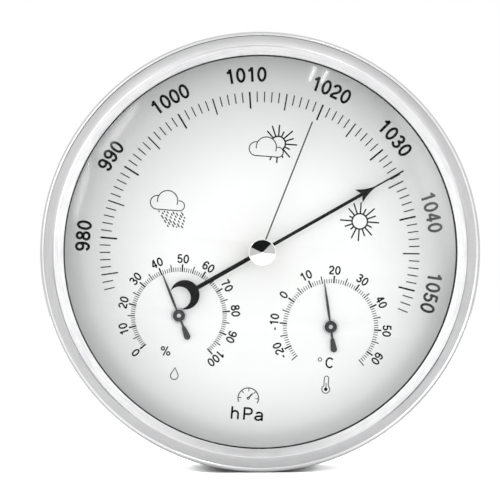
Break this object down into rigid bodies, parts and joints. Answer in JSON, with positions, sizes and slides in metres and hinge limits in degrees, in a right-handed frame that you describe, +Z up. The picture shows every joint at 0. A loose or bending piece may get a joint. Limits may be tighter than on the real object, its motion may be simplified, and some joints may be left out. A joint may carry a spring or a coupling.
{
  "type": "analog weather station",
  "caption": "Round wall-hung weather station: barometer dial with inset humidity and temperature scales, domed glass, turned steel ring and a central knob that turns a set hand.",
  "frame": {"origin": "centre of the rear cover's back face, where the instrument rests against the wall", "axes": "+Z up, +Y into the wall, +X to the right seen from the front; the dial faces -Y"},
  "size_m": [0.1318, 0.0361, 0.132],
  "materials": {
    "polished_ring": "polished",
    "polished_knob": "polished",
    "zinc_steel": "zinc plated",
    "dark_steel": "blackened",
    "brass": "turned",
    "copper_alloy": "pressed copper alloy",
    "coil_strip": "rolled strip",
    "clear_glass": "clear",
    "white_dial": "matt white",
    "black_paint": "satin black",
    "grey_paint": "satin grey",
    "black_plastic": "matt moulded",
    "white_plastic": "moulded",
    "black_rubber": "matt"
  },
  "bodies": {
    "case_and_dial": {"bezel_ring": "polished_ring", "glass_seal": "black_rubber", "domed_glass": "clear_glass", "spacer_ring": "white_plastic", "dial_plate": "white_dial", "rear_cover": "black_plastic", "mounting_lug_1": "zinc_steel", "mounting_lug_2": "zinc_steel", "mounting_lug_3": "zinc_steel", "rear_screw_1": "dark_steel", "rear_screw_2": "dark_steel", "rear_screw_3": "dark_steel", "glass_bush": "brass", "bush_nut": "brass", "friction_washer": "brass", "dial_bush": "brass", "hygro_case": "white_plastic", "hygro_bush": "zinc_steel", "hygro_coil": "coil_strip", "thermo_case": "white_plastic", "thermo_bush": "zinc_steel", "thermo_coil": "coil_strip", "movement_plate": "zinc_steel", "movement_post_1": "brass", "movement_post_2": "brass", "movement_post_3": "brass", "post_screw_1": "dark_steel", "post_screw_2": "dark_steel", "post_screw_3": "dark_steel", "capsule_seat": "brass", "aneroid_capsule": "copper_alloy", "lever_bracket": "zinc_steel", "lever_pin": "zinc_steel", "rocking_bracket": "zinc_steel", "chain": "zinc_steel", "bridge": "brass", "hairspring": "coil_strip", "bridge_screw_1": "dark_steel", "bridge_screw_2": "dark_steel"},
    "set_pointer": {"set_knob": "polished_knob", "knob_spindle": "brass", "set_hand": "grey_paint"},
    "baro_pointer": {"baro_hand": "black_paint", "baro_hub": "black_paint", "hand_arbor": "brass"},
    "rocking_train": {"rocking_shaft": "zinc_steel", "crank_arm": "brass", "chain_arm": "brass"},
    "lever": {"main_lever": "zinc_steel"},
    "stud": {"capsule_stud": "brass", "stud_nut": "brass"},
    "hygro_pointer": {"hygro_hand": "grey_paint", "hygro_hub": "grey_paint", "hygro_arbor": "zinc_steel"},
    "thermo_pointer": {"thermo_hand": "grey_paint", "thermo_hub": "grey_paint", "thermo_arbor": "zinc_steel"},
    "adjuster": {"adjusting_screw": "brass"}
  },
  "joints": [
    {"name": "set_knob_turn", "type": "hinge", "parent": "case_and_dial", "child": "set_pointer", "pos_m": [0, -0.0335, 0], "axis": [0, 1, 0], "continuous": true},
    {"name": "baro_pointer_turn", "type": "hinge", "parent": "case_and_dial", "child": "baro_pointer", "pos_m": [0, -0.0188, 0], "axis": [0, 1, 0], "range_deg": [-164.16, 51.84], "deforming": ["hairspring"]},
    {"name": "rocking_shaft_turn", "type": "hinge", "parent": "case_and_dial", "child": "rocking_train", "pos_m": [0, -0.0076, -0.0212], "axis": [-1, 0, 0], "range_deg": [-18.91, 5.97], "deforming": ["chain"]},
    {"name": "lever_swing", "type": "hinge", "parent": "case_and_dial", "child": "lever", "pos_m": [0, -0.0118, 0.018], "axis": [1, 0, 0], "range_deg": [-1.12, 0.35]},
    {"name": "capsule_stroke", "type": "slide", "parent": "case_and_dial", "child": "stud", "axis": [0, 1, 0], "range_m": [-0.00035317, 0.00011153], "deforming": ["aneroid_capsule"]},
    {"name": "hygro_pointer_turn", "type": "hinge", "parent": "case_and_dial", "child": "hygro_pointer", "pos_m": [-0.023, -0.0203, -0.021], "axis": [0, 1, 0], "range_deg": [-109.08, 160.92], "deforming": ["hygro_coil"]},
    {"name": "thermo_pointer_turn", "type": "hinge", "parent": "case_and_dial", "child": "thermo_pointer", "pos_m": [0.023, -0.0203, -0.021], "axis": [0, 1, 0], "range_deg": [-122.7, 147.3], "deforming": ["thermo_coil"]},
    {"name": "adjusting_screw_turn", "type": "hinge", "parent": "case_and_dial", "child": "adjuster", "pos_m": [0.014, -0.0044, 0.014], "axis": [0, 1, 0], "range_deg": [-360, 360]}
  ],
  "couplings": [
    {"joint": "rocking_shaft_turn", "follows": "baro_pointer_turn", "ratio": 0.11494},
    {"joint": "lever_swing", "follows": "baro_pointer_turn", "ratio": 0.0068344},
    {"joint": "capsule_stroke", "follows": "baro_pointer_turn", "m_per_rad": 0.00012302}
  ]
}
